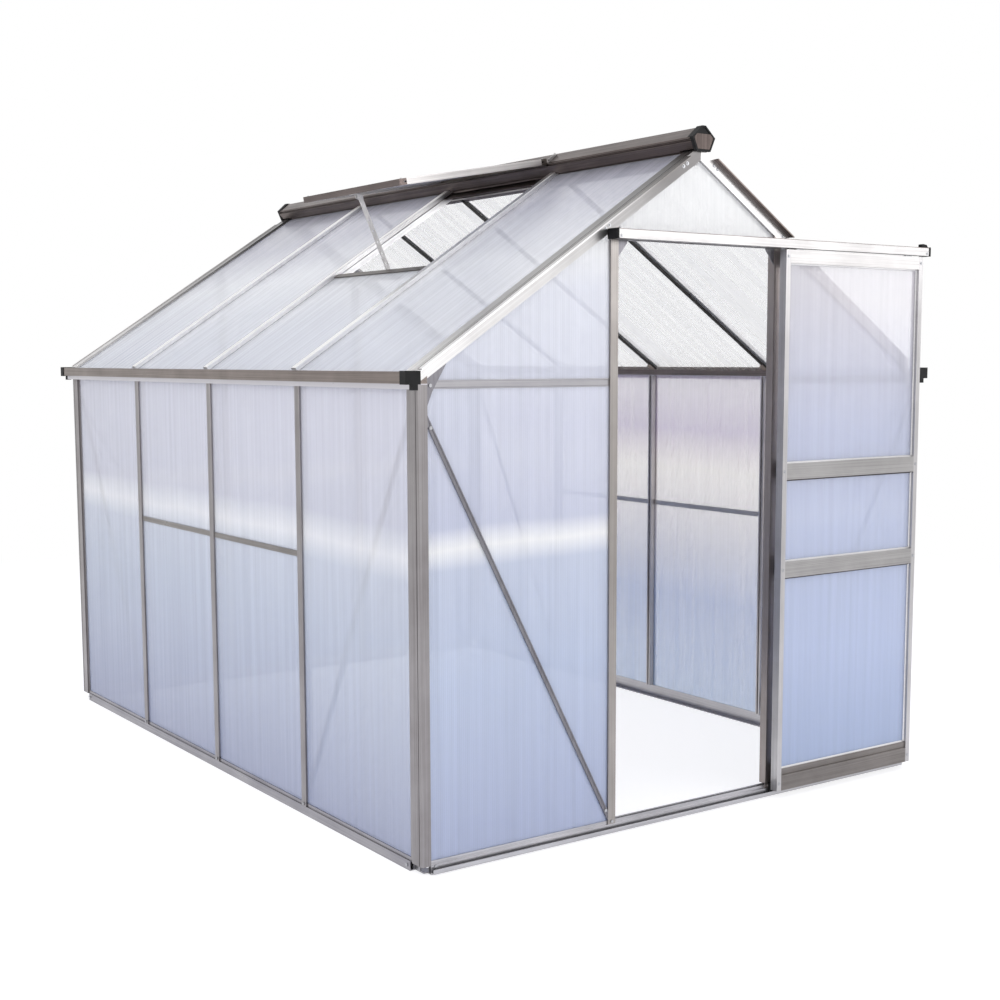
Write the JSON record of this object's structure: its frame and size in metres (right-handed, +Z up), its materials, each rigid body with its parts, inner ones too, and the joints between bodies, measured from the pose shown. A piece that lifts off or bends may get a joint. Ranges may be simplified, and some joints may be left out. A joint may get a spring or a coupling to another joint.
{
  "type": "greenhouse",
  "caption": "Free-standing aluminium garden greenhouse glazed with twin-wall sheets, with a sliding gable door and a hinged roof vent.",
  "frame": {"origin": "on the ground under the middle of the frame", "axes": "+X across the gables, +Y from the door end to the back, +Z up"},
  "size_m": [1.934, 2.5885, 1.957],
  "materials": {
    "mill_aluminium": "satin",
    "twin_wall_sheet": "gloss",
    "black_plastic": "matte",
    "nylon": "satin",
    "zinc_steel": "satin"
  },
  "bodies": {
    "frame": {"base_corner_brackets": "mill_aluminium", "door_header": "mill_aluminium", "door_header_gussets": "mill_aluminium", "door_track": "mill_aluminium", "door_track_end_caps": "black_plastic", "eave_gusset_plates": "mill_aluminium", "frame_bolts": "zinc_steel", "front_base_rail": "mill_aluminium", "front_gable_sheets": "twin_wall_sheet", "front_left_corner_post": "mill_aluminium", "front_left_gable_rafter": "mill_aluminium", "front_right_corner_post": "mill_aluminium", "front_right_gable_rafter": "mill_aluminium", "gable_braces": "mill_aluminium", "gable_ties": "mill_aluminium", "gutter_end_caps": "black_plastic", "left_base_rail": "mill_aluminium", "left_door_post": "mill_aluminium", "left_gutter": "mill_aluminium", "left_roof_bars": "mill_aluminium", "left_roof_sheets": "twin_wall_sheet", "left_wall_mid_rails": "mill_aluminium", "left_wall_sheets": "twin_wall_sheet", "left_wall_studs": "mill_aluminium", "rear_base_rail": "mill_aluminium", "rear_gable_sheets": "twin_wall_sheet", "rear_gable_studs": "mill_aluminium", "rear_left_corner_post": "mill_aluminium", "rear_left_gable_rafter": "mill_aluminium", "rear_right_corner_post": "mill_aluminium", "rear_right_gable_rafter": "mill_aluminium", "ridge_bar": "mill_aluminium", "ridge_end_caps": "black_plastic", "right_base_rail": "mill_aluminium", "right_door_post": "mill_aluminium", "right_gutter": "mill_aluminium", "right_roof_bars": "mill_aluminium", "right_roof_sheets": "twin_wall_sheet", "right_wall_mid_rails": "mill_aluminium", "right_wall_sheets": "twin_wall_sheet", "right_wall_studs": "mill_aluminium", "side_wall_braces": "mill_aluminium", "vent_sill_bar": "mill_aluminium", "vent_stay_peg": "mill_aluminium"},
    "door": {"door_left_stile": "mill_aluminium", "door_right_stile": "mill_aluminium", "door_top_rail": "mill_aluminium", "door_mid_rails": "mill_aluminium", "door_kick_rail": "mill_aluminium", "door_sheets": "twin_wall_sheet", "door_hangers": "mill_aluminium", "door_guide_shoes": "black_plastic"},
    "door_left_roller": {"door_left_roller": "nylon"},
    "door_right_roller": {"door_right_roller": "nylon"},
    "vent": {"vent_hinge_rail": "mill_aluminium", "vent_stiles": "mill_aluminium", "vent_bottom_rail": "mill_aluminium", "vent_sheet": "twin_wall_sheet", "vent_stay_bracket": "mill_aluminium"},
    "vent_stay": {"vent_stay": "mill_aluminium"}
  },
  "joints": [
    {"name": "door_slide", "type": "slide", "parent": "frame", "child": "door", "axis": [1, 0, 0], "range_m": [-0.596, 0]},
    {"name": "door_left_roller_spin", "type": "hinge", "parent": "door", "child": "door_left_roller", "pos_m": [0.358, -1.29, 1.64536], "axis": [0, 1, 0], "continuous": true},
    {"name": "door_right_roller_spin", "type": "hinge", "parent": "door", "child": "door_right_roller", "pos_m": [0.834, -1.29, 1.64536], "axis": [0, 1, 0], "continuous": true},
    {"name": "vent_hinge", "type": "hinge", "parent": "frame", "child": "vent", "pos_m": [-0.036, -0.305, 1.918], "axis": [0, 1, 0], "range_deg": [-25.7, 0]},
    {"name": "vent_stay_swing", "type": "hinge", "parent": "vent", "child": "vent_stay", "pos_m": [-0.53948, -0.305, 1.8139], "axis": [0, 1, 0], "range_deg": [-69.7, 0.5]}
  ],
  "couplings": [
    {"joint": "door_left_roller_spin", "follows": "door_slide", "rad_per_m": 125},
    {"joint": "door_right_roller_spin", "follows": "door_slide", "rad_per_m": 125},
    {"joint": "vent_stay_swing", "follows": "vent_hinge", "ratio": 2.7}
  ]
}
